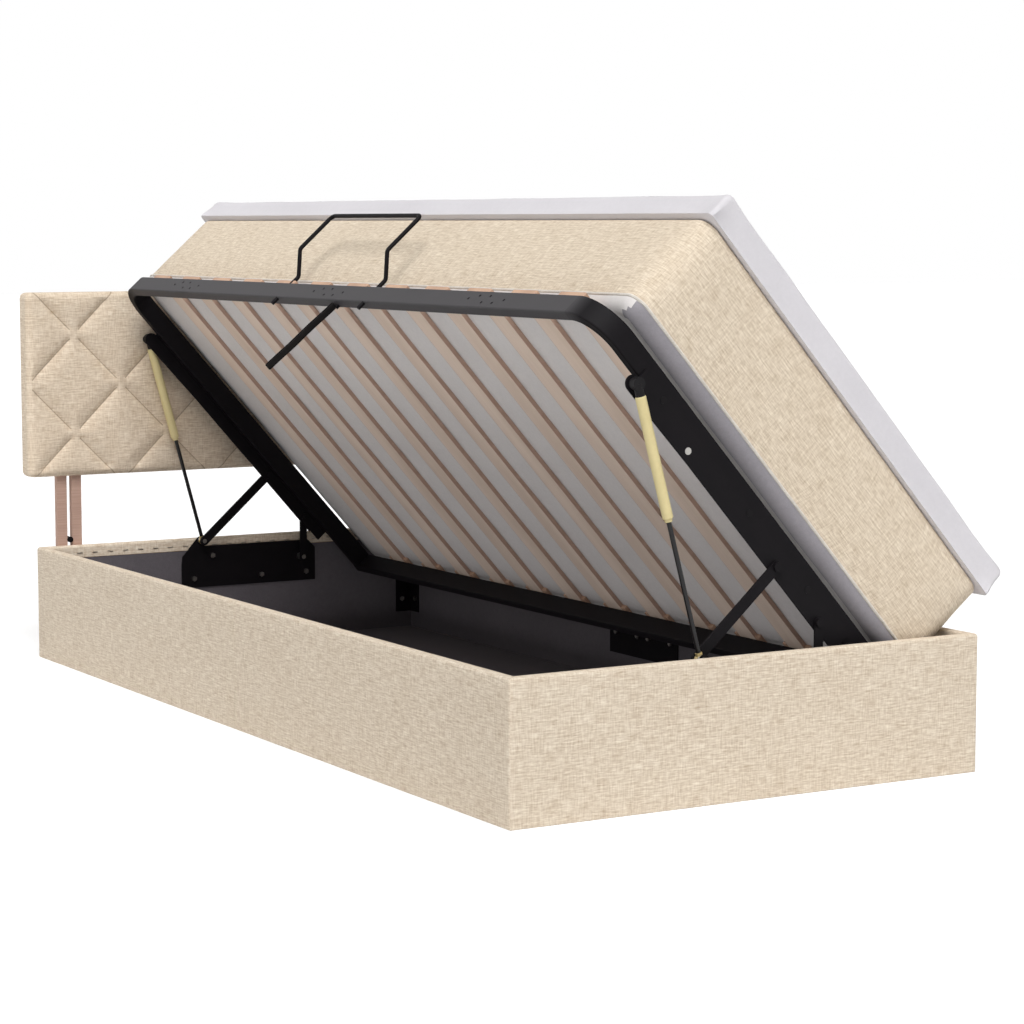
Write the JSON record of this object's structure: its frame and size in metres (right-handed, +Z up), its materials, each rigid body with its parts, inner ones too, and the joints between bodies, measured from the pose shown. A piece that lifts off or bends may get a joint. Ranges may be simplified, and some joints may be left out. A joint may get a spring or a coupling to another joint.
{
  "type": "storage bed",
  "caption": "Single storage bed with an upholstered box, a side-opening gas-lifted slatted frame, mattress, topper and quilted headboard.",
  "frame": {"origin": "middle of the box's footprint, on the floor, at the underside of the floor panel", "axes": "+X from the opening long side to the hinge side, +Y from the foot to the head, +Z up; the lid is stored open"},
  "size_m": [1.0222, 2.06, 0.9851],
  "materials": {
    "board": "raw chipboard",
    "linen": "woven upholstery cloth with slubs",
    "hardboard": "smooth hardboard",
    "lining": "black nonwoven",
    "black_steel": "satin black paint",
    "zinc": "zinc plated",
    "black_rod": "dark nitrided",
    "gold_fitting": "yellow passivated",
    "pale_cylinder": "gloss paint",
    "black_plastic": "moulded",
    "grey_steel": "satin grey paint",
    "birch": "sealed laminated birch",
    "holder_wood": "pressed wood",
    "webbing": "woven webbing",
    "mattress_weave": "woven border cloth",
    "mattress_grey": "brushed ticking",
    "piping": "woven tape",
    "topper_cloth": "soft jersey",
    "leg_wood": "planed softwood"
  },
  "bodies": {
    "box": {"base_plate_foot": "black_steel", "base_plate_head": "black_steel", "board_foot": "board", "board_front_foot": "board", "board_front_head": "board", "board_head": "board", "board_hinge_foot": "board", "board_hinge_head": "board", "cover_foot": "linen", "cover_front_foot": "linen", "cover_front_head": "linen", "cover_head": "linen", "cover_hinge_foot": "linen", "cover_hinge_head": "linen", "floor_panel": "hardboard", "liner_floor": "lining", "wall_lining": "lining", "corner_brackets": "black_steel", "splice_plates": "black_steel", "box_bolts": "zinc", "pivot_pins": "zinc", "leg_bolts": "zinc"},
    "foot_link": {"short_link_foot": "black_steel"},
    "head_link": {"short_link_head": "black_steel"},
    "foot_arm": {"long_arm_foot": "black_steel"},
    "head_arm": {"long_arm_head": "black_steel"},
    "foot_rod": {"strut_rod_foot": "black_rod", "strut_eye_foot": "gold_fitting"},
    "head_rod": {"strut_rod_head": "black_rod", "strut_eye_head": "gold_fitting"},
    "foot_cylinder": {"strut_cylinder_foot": "pale_cylinder", "strut_socket_foot": "black_plastic"},
    "head_cylinder": {"strut_cylinder_head": "pale_cylinder", "strut_socket_head": "black_plastic"},
    "strap": {"pull_strap": "webbing"},
    "headboard": {"headboard_board": "board", "headboard_pad": "linen", "headboard_leg_front": "leg_wood", "headboard_leg_hinge": "leg_wood", "stop_bolts": "black_steel"},
    "lid": {"corner_elbow_foot": "grey_steel", "corner_elbow_head": "grey_steel", "end_rail_foot": "black_steel", "end_rail_head": "black_steel", "front_rail": "grey_steel", "handle_hoop": "black_steel", "hinge_rail": "black_steel", "lid_bolts": "zinc", "lid_pivot_pins": "zinc", "lift_plate_foot": "black_steel", "lift_plate_head": "black_steel", "mattress_border": "mattress_weave", "mattress_piping": "piping", "mattress_underside": "mattress_grey", "slat_holders": "holder_wood", "slats_foot": "birch", "slats_head": "birch", "strap_clip": "black_steel", "strut_studs": "zinc", "topper": "topper_cloth"}
  },
  "joints": [
    {"name": "foot_link_hinge", "type": "hinge", "parent": "box", "child": "foot_link", "pos_m": [0.15643, -0.9725, 0.18573], "axis": [0, 1, 0], "range_deg": [0, 93.82]},
    {"name": "lid_hinge", "type": "hinge", "parent": "foot_link", "child": "lid", "pos_m": [0.15643, -0.9725, 0.27648], "axis": [0, -1, 0], "range_deg": [0, 141.92], "stiffness_Nm_per_rad": 11.5, "springref_deg": -59.59},
    {"name": "head_link_hinge", "type": "hinge", "parent": "box", "child": "head_link", "pos_m": [0.15643, 0.9725, 0.18573], "axis": [0, 1, 0], "range_deg": [0, 93.82]},
    {"name": "foot_arm_hinge", "type": "hinge", "parent": "box", "child": "foot_arm", "pos_m": [-0.088, -0.9725, 0.2355], "axis": [0, 1, 0], "range_deg": [0, 57.05]},
    {"name": "head_arm_hinge", "type": "hinge", "parent": "box", "child": "head_arm", "pos_m": [-0.088, 0.9725, 0.2355], "axis": [0, 1, 0], "range_deg": [0, 57.05]},
    {"name": "foot_strut_hinge", "type": "hinge", "parent": "box", "child": "foot_rod", "pos_m": [-0.088, -0.981, 0.2355], "axis": [0, -1, 0], "range_deg": [0, 84.2]},
    {"name": "foot_strut_slide", "type": "slide", "parent": "foot_rod", "child": "foot_cylinder", "axis": [0.2634, 0, -0.9647], "range_m": [0, 0.1955]},
    {"name": "head_strut_hinge", "type": "hinge", "parent": "box", "child": "head_rod", "pos_m": [-0.088, 0.981, 0.2355], "axis": [0, -1, 0], "range_deg": [0, 84.2]},
    {"name": "head_strut_slide", "type": "slide", "parent": "head_rod", "child": "head_cylinder", "axis": [0.2634, 0, -0.9647], "range_m": [0, 0.1955]},
    {"name": "strap_hinge", "type": "hinge", "parent": "lid", "child": "strap", "pos_m": [-0.28348, -0.067, 0.7839], "axis": [0, -1, 0], "range_deg": [0, 75.2]},
    {"name": "headboard_slide", "type": "slide", "parent": "box", "child": "headboard", "axis": [0, 0, 1], "range_m": [0, 0.06]}
  ],
  "couplings": [
    {"joint": "foot_link_hinge", "follows": "lid_hinge", "ratio": 0.65967},
    {"joint": "head_link_hinge", "follows": "lid_hinge", "ratio": 0.65967},
    {"joint": "foot_arm_hinge", "follows": "lid_hinge", "ratio": 0.40057},
    {"joint": "head_arm_hinge", "follows": "lid_hinge", "ratio": 0.40057},
    {"joint": "foot_strut_hinge", "follows": "lid_hinge", "ratio": 0.59189},
    {"joint": "foot_strut_slide", "follows": "lid_hinge", "m_per_rad": 0.078726},
    {"joint": "head_strut_hinge", "follows": "lid_hinge", "ratio": 0.59189},
    {"joint": "head_strut_slide", "follows": "lid_hinge", "m_per_rad": 0.078726},
    {"joint": "strap_hinge", "follows": "lid_hinge", "ratio": 0.52847}
  ]
}
